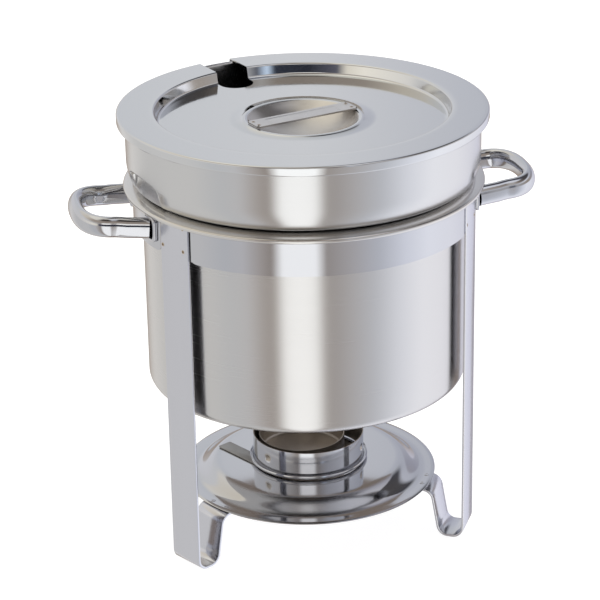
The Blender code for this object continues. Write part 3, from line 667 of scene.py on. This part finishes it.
# Studio. A pale table top, the soft light of a room round it and of one panel, and a camera above the rim.
floor_paint = bpy.data.materials.new("pale_matt_table")
floor_paint.use_nodes = True
floor_shader = floor_paint.node_tree.nodes["Principled BSDF"]
floor_shader.inputs["Base Color"].default_value = linear("#B8B8B8")
floor_shader.inputs["Roughness"].default_value = 0.6
floor_shader.inputs["Emission Color"].default_value = linear("#FFFFFF")
floor_shader.inputs["Emission Strength"].default_value = 0.82
bpy.ops.object.select_all(action="DESELECT")
bpy.ops.mesh.primitive_plane_add(size=12, location=(0, 0, -0.5 * MM))
table = bpy.context.object
table.name = "table_top"
table.data.materials.append(floor_paint)
table.visible_glossy = False

view_turn, view_rise, view_roll = math.radians(-13), math.radians(22.45), math.radians(-0.96)
world = bpy.data.worlds.new("studio")
bpy.context.scene.world = world
world.use_nodes = True
room = world.node_tree
room_side = add_node(room, "ShaderNodeTexCoord", {}, {})
room_turned = add_node(room, "ShaderNodeMapping", {"Rotation": (0, 0, -view_turn)},
                       {"Vector": room_side.outputs["Generated"]})
room_axes = add_node(room, "ShaderNodeSeparateXYZ", {}, {"Vector": room_turned.outputs["Vector"]})
room_front = add_node(room, "ShaderNodeMath", {"operation": "MULTIPLY", 1: -1.0}, {0: room_axes.outputs["Y"]})
room_turn = add_node(room, "ShaderNodeMath", {"operation": "ARCTAN2"},
                     {0: room_axes.outputs["X"], 1: room_front.outputs["Value"]})
room_share = add_node(room, "ShaderNodeMapRange", {"From Min": -math.pi, "From Max": math.pi},
                      {"Value": room_turn.outputs["Value"]})
room_up = add_node(room, "ShaderNodeMath", {"operation": "ARCSINE"}, {0: room_axes.outputs["Z"]})


def room_belt(stops):
    """The room's brightness all round at one height; each stop is degrees from the camera's side and a
    colour."""
    belt = add_node(room, "ShaderNodeValToRGB", {}, {"Fac": room_share.outputs["Result"]})
    ends = belt.color_ramp.elements
    for end, (turn, shade) in zip(ends, (stops[0], stops[-1])):
        end.position, end.color = (turn + 180) / 360, linear(shade)
    for turn, shade in stops[1:-1]:
        ends.new((turn + 180) / 360).color = linear(shade)
    return belt.outputs["Color"]


# the room as seen from the kettle, in belts of brightness; the lowest one has a narrow bright panel in front,
# dark on both sides of it, a grey wall on the left and a big soft window on the right
room_shade = room_belt(((-180, "#85786E"), (-165, "#8E847C"), (-145, "#C0BEBC"), (-120, "#B5B4B3"),
                        (-95, "#B8B7B6"), (-75, "#B8B7B6"), (-55, "#AEAFB1"), (-42, "#B0AFB0"),
                        (-30, "#9C9692"), (-22, "#88807A"), (-15, "#F0F0EF"), (7, "#F0F0EF"),
                        (14, "#908A86"), (30, "#A19E9E"), (50, "#B0B2B8"), (70, "#CED0D8"),
                        (90, "#DFE0E6"), (115, "#DADAE0"), (135, "#CCCCD4"), (154, "#B8B8C4"),
                        (168, "#8E847C"), (180, "#85786E")))
# the belts above it, each with the heights in degrees where it begins to show and where it is full
for start, full, belt in (
        # level: cream on the left, a dark doorway in front with a cold lamp beside it
        (3, 5, ((-180, "#BBBCBF"), (-175, "#B3B5B9"), (-160, "#BDBDC0"), (-110, "#C2C0BE"), (-50, "#DAD5CA"),
                (-36, "#CCC6BA"), (-28, "#50505A"), (-5, "#24262E"), (22, "#2A2E38"), (28, "#B8C8DC"),
                (36, "#50525A"), (46, "#9A9A9C"), (100, "#8E847A"), (150, "#90909A"), (175, "#A6A8B0"),
                (180, "#BBBCBF"))),
        # above it: the bright panel again, and a pale back wall that the lid mirrors
        (19, 21, ((-180, "#BBBCBF"), (-175, "#B3B5B9"), (-150, "#BCBCBC"), (-100, "#C2C1C0"),
                  (-40, "#A8A4A0"), (-22, "#8C8682"), (-14, "#F2F0EC"), (10, "#F2F0EC"), (18, "#8C8682"),
                  (40, "#A4A4A8"), (90, "#C8C9CE"), (150, "#A2A4AC"), (175, "#A6A8B0"),
                  (180, "#BBBCBF"))),
        # high: brown-grey in front
        (28, 33, ((-180, "#B4B6B8"), (-150, "#C8C4BC"), (-100, "#C0B8AA"), (-60, "#988E84"), (0, "#8C8279"),
                  (25, "#8C8279"), (40, "#A6A29E"), (60, "#7A7068"), (100, "#4A4644"), (150, "#404044"),
                  (170, "#A8AAAE"), (180, "#B4B6B8"))),
        # ceiling: dark in front and on the right, pale elsewhere
        (50, 56, ((-180, "#B0AEAA"), (-150, "#D8D4C8"), (-60, "#D0CCC2"), (-25, "#4A4440"), (20, "#3A3632"),
                  (38, "#C8C8CC"), (80, "#D0D2D8"), (110, "#50505A"), (160, "#303034"), (175, "#908E8C"),
                  (180, "#B0AEAA"))),
        # straight above: cream
        (76, 84, ((-180, "#BEBAB2"), (0, "#BEBAB2"), (180, "#BEBAB2")))):
    heights = {"From Min": math.radians(start), "From Max": math.radians(full)}
    risen = add_node(room, "ShaderNodeMapRange", heights, {"Value": room_up.outputs["Value"]})
    joined = add_node(room, "ShaderNodeMix", {"data_type": "RGBA"}, {})
    # a colour mix has its factor at socket 0, its colours at 6 and 7 and its result at 2
    for socket, source in ((0, risen.outputs["Result"]), (6, room_shade), (7, room_belt(belt))):
        room.links.new(source, joined.inputs[socket])
    room_shade = joined.outputs[2]
room_light = room.nodes["Background"]
room.links.new(room_shade, room_light.inputs["Color"])
room_light.inputs["Strength"].default_value = 1.62

# one soft panel high behind the kettle on its right; it lights the sheet but isn't mirrored in it
panel_turn, panel_rise, panel_far, panel_size = math.radians(150) + view_turn, math.radians(70), 2.6, 2.4
panel_place = panel_far * Vector((math.sin(panel_turn) * math.cos(panel_rise),
                                  -math.cos(panel_turn) * math.cos(panel_rise), math.sin(panel_rise)))
bpy.ops.object.light_add(type="AREA", location=panel_place)
lamp = bpy.context.object
lamp.name = "top_panel"
lamp.data.shape = "RECTANGLE"
lamp.data.size, lamp.data.size_y = panel_size, panel_size
lamp.data.energy = 30
lamp.rotation_euler = panel_place.to_track_quat("Z", "Y").to_euler()
lamp.visible_glossy = False

# the camera looks a little down at a point on the kettle's axis, from the front and a little to the left
aim, camera_far = Vector((0, 0, 195.73 * MM)), 1.98
towards_camera = Vector((math.sin(view_turn) * math.cos(view_rise),
                         -math.cos(view_turn) * math.cos(view_rise), math.sin(view_rise)))
bpy.ops.object.camera_add(location=aim + camera_far * towards_camera)
camera = bpy.context.object
camera.rotation_euler = (towards_camera.to_track_quat("Z", "Y") @ Quaternion((0, 0, 1), view_roll)).to_euler()
camera.data.sensor_width = 36
camera.data.lens = 143.1696
camera.data.shift_x = -0.0099333
bpy.context.scene.camera = camera
bpy.context.scene.view_settings.view_transform = "Standard"
